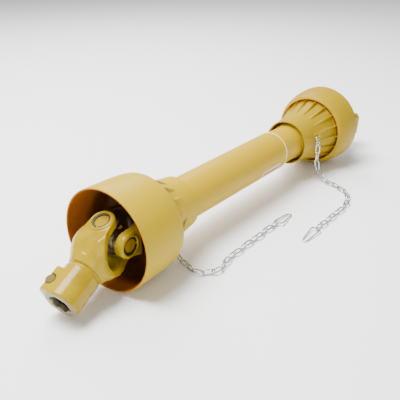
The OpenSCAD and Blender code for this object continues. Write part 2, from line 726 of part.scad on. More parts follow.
// Far end
module far_outer_yoke() { color(paint_yellow) far_yoke_frame() outer_yoke(); }
module far_outer_cups() { color(steel_grey) far_yoke_frame() cup_pair(); }
module far_outer_rings() { color(dark_steel) far_yoke_frame() ring_pair(); }
module far_push_pin() { color(steel_grey) far_yoke_frame() translate([push_x, -pin_y, 0]) push_pin(); }
module far_pin_spring() { color(zinc) far_yoke_frame() translate([push_x, -pin_y, 0]) pin_spring(); }
module far_pin_clip() { color(dark_steel) far_yoke_frame() translate([push_x, -pin_y, 0]) pin_clip(); }
module far_cross() { color(steel_grey) far_cross_frame() rotate([0, 180, 0]) cross_piece(); }
module far_cross_seals() { color(seal_brown) far_cross_frame() cross_seals(); }
module far_grease_nipple() { color(zinc) far_cross_frame() rotate([0, 180, 0]) grease_nipple(); }
module far_inner_yoke() { color(paint_yellow) far_joint() inner_yoke(inner_lobe_r); }
module far_inner_cups() { color(steel_grey) far_joint() rotate([90, 0, 0]) cup_pair(); }
module far_inner_rings() { color(dark_steel) far_joint() rotate([90, 0, 0]) ring_pair(); }
module far_tube_pin() { color(dark_steel) far_joint() tube_pin(); }
module inner_drive_tube() { color(steel_grey) far_joint() drive_tube(inner_lobe_r, inner_tube_len); }
inner_guard_r = guard_r - guard_wall - guard_gap;
module far_bell() { color(guard_yellow) far_bell_frame() bell(inner_guard_r, far_shape, far_eye_angle); }
module far_bearing_ring() { color(nylon_white) far_bell_frame() bearing_ring(); }
module far_guard_screws() { color(zinc) far_bell_frame() guard_screws(inner_guard_r); }
inner_guard_start = far_mouth_x + far_collar_len - seat_inset - inner_guard_len;
module inner_guard_tube() {
  color(guard_yellow) guard_tube(inner_guard_r, inner_guard_start, inner_guard_len)
    far_bell_frame() screw_places() cylinder(r = screw_r, h = guard_r + 2);
}
module far_s_hook() { color(zinc) translate(far_eye) rotate([far_hook_lean, 0, 0]) s_hook(); }
module far_chain_drop() { color(zinc) chain(far_drop_points, far_drop_turns); }
module far_chain() { color(zinc) chain(far_points, far_chain_turns); }
module far_snap_hook() {
  color(zinc) translate(far_points[len(far_chain_turns)]) rotate([0, snap_tilt, far_snap_turn]) snap_hook();
}

translate(-middle) {
  near_outer_yoke();
  near_outer_cups();
  near_outer_rings();
  near_push_pin();
  near_pin_spring();
  near_pin_clip();
  near_cross();
  near_cross_seals();
  near_grease_nipple();
  near_inner_yoke();
  near_inner_cups();
  near_inner_rings();
  near_tube_pin();
  outer_drive_tube();
  near_bell();
  near_bearing_ring();
  near_guard_screws();
  outer_guard_tube();
  near_s_hook();
  near_chain();
  near_snap_hook();
  far_outer_yoke();
  far_outer_cups();
  far_outer_rings();
  far_push_pin();
  far_pin_spring();
  far_pin_clip();
  far_cross();
  far_cross_seals();
  far_grease_nipple();
  far_inner_yoke();
  far_inner_cups();
  far_inner_rings();
  far_tube_pin();
  inner_drive_tube();
  far_bell();
  far_bearing_ring();
  far_guard_screws();
  inner_guard_tube();
  far_s_hook();
  far_chain_drop();
  far_chain();
  far_snap_hook();
}
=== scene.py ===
"""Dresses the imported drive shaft: painted forgings, a plastic guard, zinc chains, studio and camera."""

import json
import logging
import math
from dataclasses import dataclass, field
from enum import Enum

import bmesh
import bpy
import numpy as np
from mathutils import Matrix, Vector


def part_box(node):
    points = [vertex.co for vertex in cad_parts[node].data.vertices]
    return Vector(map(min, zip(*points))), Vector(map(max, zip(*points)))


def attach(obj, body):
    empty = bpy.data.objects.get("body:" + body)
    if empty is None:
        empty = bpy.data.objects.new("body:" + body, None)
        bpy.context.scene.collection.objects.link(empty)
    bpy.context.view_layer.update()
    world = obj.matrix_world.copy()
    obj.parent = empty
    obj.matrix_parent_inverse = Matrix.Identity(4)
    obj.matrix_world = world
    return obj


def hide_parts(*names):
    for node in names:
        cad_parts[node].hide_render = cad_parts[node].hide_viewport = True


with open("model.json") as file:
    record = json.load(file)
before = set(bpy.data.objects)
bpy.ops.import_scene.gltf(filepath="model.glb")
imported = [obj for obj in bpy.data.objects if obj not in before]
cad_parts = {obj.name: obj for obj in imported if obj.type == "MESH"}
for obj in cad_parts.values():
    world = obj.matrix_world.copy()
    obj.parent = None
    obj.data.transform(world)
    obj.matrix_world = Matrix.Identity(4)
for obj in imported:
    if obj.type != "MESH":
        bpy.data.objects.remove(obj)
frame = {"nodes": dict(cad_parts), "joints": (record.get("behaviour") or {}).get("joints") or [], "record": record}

LOG = logging.getLogger("drive_shaft")
MM = 0.001
Colour = tuple[float, float, float]


class End(Enum):
    """The two ends of the shaft, as their nodes and bodies are named."""

    NEAR = "near"
    FAR = "far"


class Mask(Enum):
    """The point attributes that the finishes read."""

    WEAR = "wear"
    BARE = "bare"
    INSIDE = "inside"
    # Where painted shade is put.
    DEEP_SHADE = "deep"


def linear(colour: Colour) -> tuple[float, float, float, float]:
    """Turns a colour as it is seen on a screen into the renderer's linear one.

    Args:
        colour: red, green and blue from 0 to 1.

    Returns:
        The linear colour with an alpha of 1.
    """
    return (*[c / 12.92 if c <= 0.04045 else ((c + 0.055) / 1.055) ** 2.4 for c in colour], 1.0)


# ---------------------------------------------------------------------------
# Finishes
# ---------------------------------------------------------------------------


@dataclass(frozen=True)
class Overlay:
    """A second look that shows where a point attribute is high, such as bare metal at a worn edge.

    Attributes:
        mask: the attribute that places it.
        colour: its colour.
        roughness: its roughness.
        metallic: its metalness.
        patchiness: how far a noise breaks it up, from 0, not at all.
        patch_scale: the scale of that noise, per metre.
        threshold: the value of the mask from which it shows.
        softness: the width of its border in the same value.
    """

    mask: Mask
    colour: Colour
    roughness: float
    metallic: float
    patchiness: float
    patch_scale: float
    threshold: float
    softness: float


@dataclass(frozen=True)
class Finish:
    """A procedural material on object coordinates.

    Attributes:
        name: the material's name.
        colour: its main colour.
        roughness: its roughness.
        shade: the colour that slow mottling mixes in.
        mottle: how much of that colour there is at most.
        mottle_scale: the scale of the mottling, per metre.
        metallic: its metalness.
        coat: the weight of a clear gloss coat.
        shine: the strength of its own plain reflection, 0.5 for most things.
        grain: the strength of the fine bump.
        grain_scale: the scale of that bump, per metre.
        overlays: the second looks, in order.
    """

    name: str
    colour: Colour
    roughness: float
    shade: Colour
    mottle: float = 0.4
    mottle_scale: float = 22.0
    metallic: float = 0.0
    coat: float = 0.0
    shine: float = 0.5
    grain: float = 0.08
    grain_scale: float = 900.0
    overlays: tuple[Overlay, ...] = ()

    def material(self) -> bpy.types.Material:
        """Builds the material, or returns it if it is there.

        Returns:
            The material.
        """
        title = f"{self.name}_finish"
        made = bpy.data.materials.get(title)
        if made:
            return made
        made = bpy.data.materials.new(title)
        made.use_nodes = True
        tree = made.node_tree
        shader = tree.nodes["Principled BSDF"]
        shader.inputs["Roughness"].default_value = self.roughness
        shader.inputs["Metallic"].default_value = self.metallic
        shader.inputs["Coat Weight"].default_value = self.coat
        shader.inputs["Coat Roughness"].default_value = 0.12
        shader.inputs["Specular IOR Level"].default_value = self.shine
        where = tree.nodes.new("ShaderNodeTexCoord").outputs["Object"]
        slow = self._noise(tree, where, self.mottle_scale, 4.0)
        amount = self._ramp(tree, slow, 0.42, 0.72, self.mottle)
        colour = self._mix(tree, amount, linear(self.colour), linear(self.shade))
        roughness = None
        metallic = None
        for layer in self.overlays:
            factor = self._mask(tree, where, layer)
            colour = self._mix(tree, factor, colour, linear(layer.colour))
            roughness = self._blend(tree, factor, roughness or self.roughness, layer.roughness)
            metallic = self._blend(tree, factor, metallic or self.metallic, layer.metallic)
        tree.links.new(colour, shader.inputs["Base Color"])
        if roughness:
            tree.links.new(roughness, shader.inputs["Roughness"])
            tree.links.new(metallic, shader.inputs["Metallic"])
        bump = tree.nodes.new("ShaderNodeBump")
        bump.inputs["Strength"].default_value = self.grain
        bump.inputs["Distance"].default_value = 0.0006
        tree.links.new(self._noise(tree, where, self.grain_scale, 3.0), bump.inputs["Height"])
        tree.links.new(bump.outputs["Normal"], shader.inputs["Normal"])
        return made

    @staticmethod
    def _noise(
        tree: bpy.types.NodeTree, where: bpy.types.NodeSocket, scale: float, detail: float,
    ) -> bpy.types.NodeSocket:
        """Adds a noise texture and returns its value."""
        noise = tree.nodes.new("ShaderNodeTexNoise")
        noise.inputs["Scale"].default_value = scale
        noise.inputs["Detail"].default_value = detail
        tree.links.new(where, noise.inputs["Vector"])
        return noise.outputs["Fac"]

    @staticmethod
    def _ramp(
        tree: bpy.types.NodeTree, value: bpy.types.NodeSocket, low: float, high: float, top: float,
    ) -> bpy.types.NodeSocket:
        """Maps low to high of a value onto 0 to top."""
        ramp = tree.nodes.new("ShaderNodeMapRange")
        ramp.interpolation_type = "SMOOTHSTEP"
        ramp.inputs["From Min"].default_value = low
        ramp.inputs["From Max"].default_value = high
        ramp.inputs["To Max"].default_value = top
        tree.links.new(value, ramp.inputs["Value"])
        return ramp.outputs["Result"]

    @staticmethod
    def _mix(
        tree: bpy.types.NodeTree, factor: bpy.types.NodeSocket, low: object, high: object,
    ) -> bpy.types.NodeSocket:
        """Mixes two colours, each a socket or a value."""
        mix = tree.nodes.new("ShaderNodeMix")
        mix.data_type = "RGBA"
        tree.links.new(factor, mix.inputs["Factor"])
        for socket, value in ((mix.inputs[6], low), (mix.inputs[7], high)):
            if isinstance(value, tuple):
                socket.default_value = value
            else:
                tree.links.new(value, socket)
        return mix.outputs[2]

    @staticmethod
    def _blend(
        tree: bpy.types.NodeTree, factor: bpy.types.NodeSocket, low: object, high: float,
    ) -> bpy.types.NodeSocket:
        """Mixes two numbers, of which the first may be a socket."""
        mix = tree.nodes.new("ShaderNodeMix")
        tree.links.new(factor, mix.inputs["Factor"])
        if isinstance(low, float):
            mix.inputs[2].default_value = low
        else:
            tree.links.new(low, mix.inputs[2])
        mix.inputs[3].default_value = high
        return mix.outputs[0]

    def _mask(
        self, tree: bpy.types.NodeTree, where: bpy.types.NodeSocket, layer: Overlay,
    ) -> bpy.types.NodeSocket:
        """The factor of an overlay: its attribute, broken up by noise, past a threshold."""
        mask = tree.nodes.new("ShaderNodeAttribute")
        mask.attribute_name = layer.mask.value
        value = mask.outputs["Fac"]
        if layer.patchiness:
            shift = tree.nodes.new("ShaderNodeMath")
            shift.operation = "MULTIPLY_ADD"
            tree.links.new(self._noise(tree, where, layer.patch_scale, 5.0), shift.inputs[0])
            shift.inputs[1].default_value = layer.patchiness
            shift.inputs[2].default_value = -0.5 * layer.patchiness
            add = tree.nodes.new("ShaderNodeMath")
            tree.links.new(value, add.inputs[0])
            tree.links.new(shift.outputs[0], add.inputs[1])
            value = add.outputs[0]
        return self._ramp(tree, value, layer.threshold, layer.threshold + layer.softness, 1.0)


CHIPS = Overlay(Mask.WEAR, (0.86, 0.74, 0.55), 0.5, 0.0, 1.1, 150.0, 0.66, 0.16)
RUST = Overlay(Mask.WEAR, (0.30, 0.17, 0.07), 0.7, 0.1, 1.6, 420.0, 1.02, 0.1)
FACE = Overlay(Mask.BARE, (0.46, 0.43, 0.31), 0.42, 0.35, 0.5, 300.0, 0.45, 0.2)
# Painted shade and glow inside the bells: a darker orange-brown on their inner faces.
INNER_SHADE_GLOW = Overlay(Mask.INSIDE, (0.62, 0.35, 0.02), 0.5, 0.0, 0.0, 1.0, 0.2, 0.5)
# Painted shade deep inside the bells and on their low side.
DEEP_SHADE = Overlay(Mask.DEEP_SHADE, (0.33, 0.19, 0.08), 0.55, 0.0, 0.25, 30.0, 0.25, 0.6)
# Painted shade on the yokes: where the inner yoke reaches into the bell, and deep in the outer yoke's bore.
YOKE_SHADE = Overlay(Mask.DEEP_SHADE, (0.22, 0.14, 0.05), 0.5, 0.0, 0.3, 60.0, 0.3, 0.5)

FORGED_PAINT = Finish(
    "forged_paint", (0.64, 0.535, 0.0), 0.24, (0.51, 0.39, 0.0), mottle=0.6, mottle_scale=26.0,
    coat=0.25, shine=0.12, grain=0.16, grain_scale=420.0, overlays=(CHIPS, RUST, FACE, YOKE_SHADE),
)
CAP_PAINT = Finish(
    "cap_paint", (0.60, 0.49, 0.0), 0.34, (0.44, 0.32, 0.0),
    coat=0.1, shine=0.15, mottle=0.5, mottle_scale=60.0,
)
GUARD_PLASTIC = Finish(
    "guard_plastic", (0.71, 0.595, 0.04), 0.42, (0.68, 0.56, 0.0), mottle=0.5, mottle_scale=7.0,
    shine=0.12, grain=0.05, grain_scale=1500.0, overlays=(INNER_SHADE_GLOW, DEEP_SHADE),
)
# Painted shade: a darker copy of the guard plastic for the far bell, which the light reaches less.
FAR_SHADED_PLASTIC = Finish(
    "far_guard_shaded_plastic", (0.64, 0.53, 0.03), 0.42, (0.58, 0.47, 0.0), mottle=0.5, mottle_scale=7.0,
    shine=0.12, grain=0.05, grain_scale=1500.0, overlays=(INNER_SHADE_GLOW, DEEP_SHADE),
)
TUBE_PLASTIC = Finish(
    "tube_plastic", (0.72, 0.59, 0.03), 0.38, (0.68, 0.545, 0.0), mottle=0.5, mottle_scale=6.0,
    shine=0.14, grain=0.04, grain_scale=1500.0,
)
BEARING_STEEL = Finish(
    "bearing_steel", (0.50, 0.46, 0.38), 0.42, (0.30, 0.25, 0.16), metallic=0.85, mottle_scale=70.0,
)
DARK_STEEL = Finish("dark_steel", (0.22, 0.20, 0.16), 0.45, (0.30, 0.24, 0.14), metallic=0.6)
TUBE_STEEL = Finish("tube_steel", (0.45, 0.44, 0.42), 0.35, (0.3, 0.29, 0.27), metallic=0.9)
PIN_STEEL = Finish("pin_steel", (0.40, 0.34, 0.12), 0.4, (0.26, 0.21, 0.08), metallic=0.5, mottle_scale=90.0)
ZINC = Finish(
    "bright_zinc", (0.80, 0.81, 0.82), 0.22, (0.55, 0.56, 0.58), metallic=1.0, mottle_scale=60.0, grain=0.06,
)
NYLON = Finish("nylon", (0.86, 0.83, 0.72), 0.45, (0.8, 0.75, 0.6), shine=0.3)
SEAL = Finish("seal_rubber", (0.13, 0.12, 0.11), 0.6, (0.2, 0.17, 0.12))
BRASS = Finish("plated_brass", (0.8, 0.68, 0.36), 0.3, (0.6, 0.46, 0.2), metallic=1.0)
RING_PLASTIC = Finish("ring_plastic", (0.88, 0.82, 0.62), 0.42, (0.84, 0.77, 0.54), shine=0.3)
STICKER_FIELD = Finish("sticker_field", (0.78, 0.48, 0.40), 0.35, (0.76, 0.44, 0.36), mottle=0.2, shine=0.3)
STICKER_EDGE = Finish("sticker_edge", (0.90, 0.87, 0.80), 0.35, (0.86, 0.82, 0.74), mottle=0.2, shine=0.3)
FLOOR_WHITE = Finish("floor_white", (1.0, 1.0, 1.0), 0.9, (1.0, 1.0, 1.0), mottle=0.0, grain=0.0, shine=0.0)

BODY_LEN = {End.NEAR: 88 * MM, End.FAR: 63 * MM}

NODE_FINISH: dict[str, Finish] = {
    "outer_yoke": FORGED_PAINT,
    "inner_yoke": FORGED_PAINT,
    "outer_cups": CAP_PAINT,
    "inner_cups": CAP_PAINT,
    "outer_rings": DARK_STEEL,
    "inner_rings": DARK_STEEL,
    "push_pin": PIN_STEEL,
    "pin_spring": ZINC,
    "pin_clip": DARK_STEEL,
    "cross": BEARING_STEEL,
    "cross_seals": SEAL,
    "grease_nipple": BRASS,
    "tube_pin": DARK_STEEL,
    "bell": GUARD_PLASTIC,
    "bearing_ring": NYLON,
    "guard_screws": ZINC,
    "s_hook": ZINC,
    "chain": ZINC,
    "chain_drop": ZINC,
    "snap_hook": ZINC,
    "drive_tube": TUBE_STEEL,
    "guard_tube": TUBE_PLASTIC,
}


# ---------------------------------------------------------------------------
# Tools
# ---------------------------------------------------------------------------


def add_object(name: str, mesh: bpy.types.Mesh) -> bpy.types.Object:
    """Links a new object that shows a mesh.

    Args:
        name: the object's name.
        mesh: its mesh.

    Returns:
        The object, at the origin.
    """
    made = bpy.data.objects.new(name, mesh)
    bpy.context.scene.collection.objects.link(made)
    return made


def dress(piece: bpy.types.Object, finish: Finish) -> None:
    """Gives a piece one finish on all its faces."""
    piece.data.materials.clear()
    piece.data.materials.append(finish.material())


def applied(piece: bpy.types.Object) -> bpy.types.Object:
    """Makes a piece's modifiers real.

    Args:
        piece: the piece.

    Returns:
        The same piece with a plain mesh and no modifiers.
    """
    evaluated = piece.evaluated_get(bpy.context.evaluated_depsgraph_get())
    mesh = bpy.data.meshes.new_from_object(evaluated)
    piece.modifiers.clear()
    old = piece.data
    piece.data = mesh
    bpy.data.meshes.remove(old)
    return piece


def smooth(mesh: bpy.types.Mesh, degrees: float) -> None:
    """Shades a mesh smooth except over edges sharper than an angle."""
    mesh.shade_smooth()
    mesh.set_sharp_from_angle(angle=math.radians(degrees))


def merged_copy(node: str, name: str) -> bpy.types.Object:
    """Copies a node's mesh into a new piece whose triangles are joined.

    Args:
        node: the node.
        name: the new piece's name.

    Returns:
        The new piece.
    """
    mesh = frame["nodes"][node].data.copy()
    work = bmesh.new()
    work.from_mesh(mesh)
    bmesh.ops.remove_doubles(work, verts=work.verts, dist=2e-6)
    work.to_mesh(mesh)
    work.free()
    mesh.update()
    return add_object(name, mesh)


def points_of(mesh: bpy.types.Mesh) -> tuple[np.ndarray, np.ndarray]:
    """The points of a mesh and their normals, as arrays of three columns."""
    count = len(mesh.vertices)
    places, normals = np.empty(count * 3), np.empty(count * 3)
    mesh.vertices.foreach_get("co", places)
    mesh.vertex_normals.foreach_get("vector", normals)
    return places.reshape(-1, 3), normals.reshape(-1, 3)


def set_mask(mesh: bpy.types.Mesh, mask: Mask, values: np.ndarray) -> None:
    """Stores a mask as a point attribute."""
    made = mesh.attributes.new(mask.value, "FLOAT", "POINT")
    made.data.foreach_set("value", values.astype(np.float32))


def edge_wear(mesh: bpy.types.Mesh, rounds: int = 2) -> np.ndarray:
    """How far each point stands out from its neighbours, as paint wears first on such edges.

    Args:
        mesh: an even mesh.
        rounds: how often the result is spread to the neighbours.

    Returns:
        A value from 0, flat or hollow, to 1, a sharp outer edge.
    """
    places, normals = points_of(mesh)
    pairs = np.empty(len(mesh.edges) * 2, dtype=np.int64)
    mesh.edges.foreach_get("vertices", pairs)
    pairs = pairs.reshape(-1, 2)
    first, second = np.concatenate([pairs, pairs[:, ::-1]]).T
    count = np.maximum(np.bincount(first, minlength=len(places)), 1)
    length = np.linalg.norm(places[second] - places[first], axis=1).mean()
    total = np.stack([np.bincount(first, places[second, k], len(places)) for k in range(3)], 1)
    mean = total / count[:, None]
    bend = -((mean - places) * normals).sum(1) / length
    for _ in range(rounds):
        bend = 0.5 * bend + 0.5 * np.bincount(first, bend[second], len(places)) / count
    return np.clip(bend / 0.22, 0.0, 1.0)


def joint(name: str) -> dict:
    """The record of a joint."""
    return next(j for j in frame["joints"] if j["name"] == name)


def mount(name: str) -> dict:
    """The record of a mount."""
    return next(m for m in frame["record"]["mounts"] if m["name"] == name)


# ---------------------------------------------------------------------------
# Universal joints
# ---------------------------------------------------------------------------


@dataclass
class Forging:
    """A forged yoke: the CAD solid with rounded edges, worn paint and, on an outer yoke, a bare end face.

    Attributes:
        end: the end of the shaft that it is at.
        kind: outer_yoke or inner_yoke.
        body: the body that it moves with.
        voxel: the size of its even mesh.
        rounding: how many passes round its edges.
        kept_bore: the radius round its bore that stays sharp.
        hub_reach: the distance from the joint to its end face.
        bore_r: the radius within which the faces are those of its bore.
        shade_from: the distance from the joint at which an inner yoke starts to take painted shade, where it
            reaches into the bell.
    """

    end: End
    kind: str
    body: str
    voxel: float = 1.15 * MM
    rounding: int = 7
    kept_bore: float = 20.5 * MM
    hub_reach: float = 124 * MM
    bore_r: float = 18.2 * MM
    shade_from: float = 16 * MM

    def build(self) -> bpy.types.Object:
        """Builds and dresses the forging.

        Returns:
            The finished piece.
        """
        node = f"{self.end.value}_{self.kind}"
        piece = merged_copy(node, f"{node}_forging")
        remesh = piece.modifiers.new("even", "REMESH")
        remesh.mode = "VOXEL"
        remesh.voxel_size = self.voxel
        applied(piece)
        along, across = self._hub_places(piece.data)
        soft = piece.vertex_groups.new(name="soft")
        cast = np.nonzero((across > self.kept_bore) | (along < 0.06))[0]
        soft.add(cast.tolist(), 1.0, "REPLACE")
        relax = piece.modifiers.new("rounded", "SMOOTH")
        relax.factor = 0.5
        relax.iterations = self.rounding
        relax.vertex_group = soft.name
        applied(piece)
        piece.vertex_groups.clear()
        wear = edge_wear(piece.data)
        along, across = self._hub_places(piece.data)
        bare = np.zeros(len(along))
        if self.kind == "outer_yoke":
            bare = np.clip((along - self.hub_reach + 0.7 * MM) / (0.4 * MM), 0, 1)
            bare = np.maximum(bare, (across < self.bore_r) & (along > self.hub_reach - 9 * MM))
        set_mask(piece.data, Mask.WEAR, wear)
        set_mask(piece.data, Mask.BARE, bare)
        # Painted shade: the inner yoke darkens as it reaches into the bell, the outer yoke deep in its bore.
        yoke_shade = np.clip((along - self.shade_from) / (14 * MM), 0, 1)
        if self.kind == "outer_yoke":
            depth = self.hub_reach - along
            yoke_shade = ((across < self.bore_r) & (along > 50 * MM)) * np.clip((depth - 4 * MM) / (6 * MM), 0, 1)
        set_mask(piece.data, Mask.DEEP_SHADE, yoke_shade)
        smooth(piece.data, 50)
        dress(piece, FORGED_PAINT)
        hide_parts(node)
        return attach(piece, self.body)

    def _hub_places(self, mesh: bpy.types.Mesh) -> tuple[np.ndarray, np.ndarray]:
        """Each point's distance along the hub from the joint, and from the hub's axis."""
        origin = np.array(joint(f"{self.end.value}_cross_swing")["pos_m"])
        if self.kind == "outer_yoke":
            axis = np.array(mount(f"{self.end.value}_spline_bore")["axis"])
        else:
            axis = np.array([1.0 if self.end is End.NEAR else -1.0, 0.0, 0.0])
        places, _ = points_of(mesh)
        along = (places - origin) @ axis
        across = np.linalg.norm(places - origin - along[:, None] * axis, axis=1)
        return along, across


# ---------------------------------------------------------------------------
# Guard
# ---------------------------------------------------------------------------


def lathe(
    name: str, centre: Vector, profile: list[tuple[float, float]], sides: int,
    arc: tuple[float, float] | None = None,
) -> bpy.types.Object:
    """Turns a closed profile round a line along X.

    Args:
        name: the piece's name.
        centre: a point on the line.
        profile: the profile as pairs of a distance along X and a radius, in order round the section.
        sides: the number of faces round.
        arc: the first and last angle in degrees from +Y towards +Z, or None for a full turn.

    Returns:
        The piece.
    """
    full = arc is None
    first, last = (0.0, 360.0) if full else arc
    steps = sides if full else sides + 1
    work = bmesh.new()
    rings = []
    for step in range(steps):
        angle = math.radians(first + (last - first) * step / sides)
        rings.append([
            work.verts.new((centre.x + x, centre.y + r * math.cos(angle), centre.z + r * math.sin(angle)))
            for x, r in profile
        ])
    for step in range(sides):
        here, there = rings[step], rings[(step + 1) % len(rings)]
        for k in range(len(profile)):
            m = (k + 1) % len(profile)
            work.faces.new((here[k], here[m], there[m], there[k]))
    if not full:
        work.faces.new(rings[0])
        work.faces.new(rings[-1][::-1])
    bmesh.ops.recalc_face_normals(work, faces=work.faces)
    mesh = bpy.data.meshes.new(name)
    work.to_mesh(mesh)
    work.free()
    return add_object(name, mesh)


@dataclass
class Bell:
    """One bell of the guard, with its inner side marked for painted shade and glow there, darker deeper in and on
    its low side.

    Attributes:
        end: the end of the shaft that it is at.
        body_len: the length of its smooth body, from its rim to its ribs.
    """

    end: End
    body_len: float

    def build(self) -> bpy.types.Object:
        """Builds and dresses the bell.

        Returns:
            The finished piece.
        """
        node = f"{self.end.value}_bell"
        piece = merged_copy(node, f"{node}_moulding")
        mesh = piece.data
        smooth(mesh, 32)
        places, normals = points_of(mesh)
        axis = Vector(joint(f"{self.end.value}_cross_swing")["pos_m"])
        radial = places[:, 1:] - np.array([axis.y, axis.z])
        size = np.linalg.norm(radial, axis=1)
        facing = (radial * normals[:, 1:]).sum(1) / np.maximum(size, 1e-6)
        low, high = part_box(node)
        rim = low.x if self.end is End.NEAR else high.x
        depth = np.abs(places[:, 0] - rim)
        # The inner faces get painted shade and glow: a darker orange-brown.
        inside = (facing < -0.25) & (depth < self.body_len + 6 * MM)
        set_mask(mesh, Mask.INSIDE, inside.astype(float))
        # Painted shade: darker deeper into the bell and on its low side.
        low_side = np.clip(0.5 - 0.8 * radial[:, 1] / np.maximum(size, 1e-6), 0, 1)
        shade_level = (depth - 30 * MM) / (40 * MM) + 0.7 * low_side - 0.1
        set_mask(mesh, Mask.DEEP_SHADE, inside * np.clip(shade_level, 0, 1))
        dress(piece, GUARD_PLASTIC if self.end is End.NEAR else FAR_SHADED_PLASTIC)
        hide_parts(node)
        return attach(piece, f"{self.end.value}_guard")


@dataclass
class StepRing:
    """The pale ring that closes the end of the outer guard tube.

    Attributes:
        width: its width along the tube.
        height: how far it stands over the tube.
    """

    width: float = 2.2 * MM
    height: float = 0.7 * MM
    sides: int = 128

    def build(self) -> bpy.types.Object:
        """Builds and dresses the ring.

        Returns:
            The finished piece.
        """
        low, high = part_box("outer_guard_tube")
        centre = Vector((high.x, (low.y + high.y) / 2, (low.z + high.z) / 2))
        outer = (high.y - low.y) / 2
        section = [
            (-self.width, outer - 0.3 * MM), (-self.width, outer + 0.5 * self.height),
            (-0.75 * self.width, outer + self.height), (-0.15 * self.width, outer + self.height),
            (0.25 * self.width, outer + 0.4 * self.height), (0.3 * self.width, outer - 0.8 * MM),
            (0.02 * MM, outer - 0.8 * MM), (0.02 * MM, outer - 0.3 * MM),
        ]
        piece = lathe("outer_tube_ring", centre, section, self.sides)
        smooth(piece.data, 50)
        dress(piece, RING_PLASTIC)
        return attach(piece, "near_guard")


@dataclass
class Sticker:
    """A blank sticker on the outer guard tube: a pale edge round a plain field.

    Attributes:
        reach: its far edge, measured back from the tube's end.
        length: its length along the tube.
        angles: its first and last angle in degrees from +Y towards +Z.
        border: the width of its pale edge.
        film: its thickness.
    """

    reach: float = 22 * MM
    length: float = 62 * MM
    angles: tuple[float, float] = (196.0, 262.0)
    border: float = 2.4 * MM
    film: float = 0.12 * MM

    def build(self) -> list[bpy.types.Object]:
        """Builds and dresses the sticker's edge and field.

        Returns:
            The two finished pieces.
        """
        low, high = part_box("outer_guard_tube")
        centre = Vector((high.x - self.reach, (low.y + high.y) / 2, (low.z + high.z) / 2))
        outer = (high.y - low.y) / 2
        turn = math.degrees(self.border / outer)
        pieces = []
        layers = (("sticker_edge", 0.0, 0.0, STICKER_EDGE), ("sticker_field", 1.0, self.film, STICKER_FIELD))
        for name, inset, lift, finish in layers:
            a, b = -self.length + inset * self.border, -inset * self.border
            base, top = outer + lift + 0.02 * MM, outer + lift + self.film
            arc = (self.angles[0] + inset * turn, self.angles[1] - inset * turn)
            piece = lathe(name, centre, [(a, base), (a, top), (b, top), (b, base)], 40, arc)
            smooth(piece.data, 40)
            dress(piece, finish)
            pieces.append(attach(piece, "near_guard"))
        return pieces


# ---------------------------------------------------------------------------
# Chains
# ---------------------------------------------------------------------------


@dataclass(frozen=True)
class LinkSize:
    """The sizes of one chain link.

    Attributes:
        wire: the thickness of its wire.
        inside: its length inside.
        width: its width over the wire.
        weld: the radius of the bead where its wire is joined.
    """

    wire: float = 2.6 * MM
    inside: float = 18 * MM
    width: float = 10.8 * MM
    weld: float = 1.5 * MM


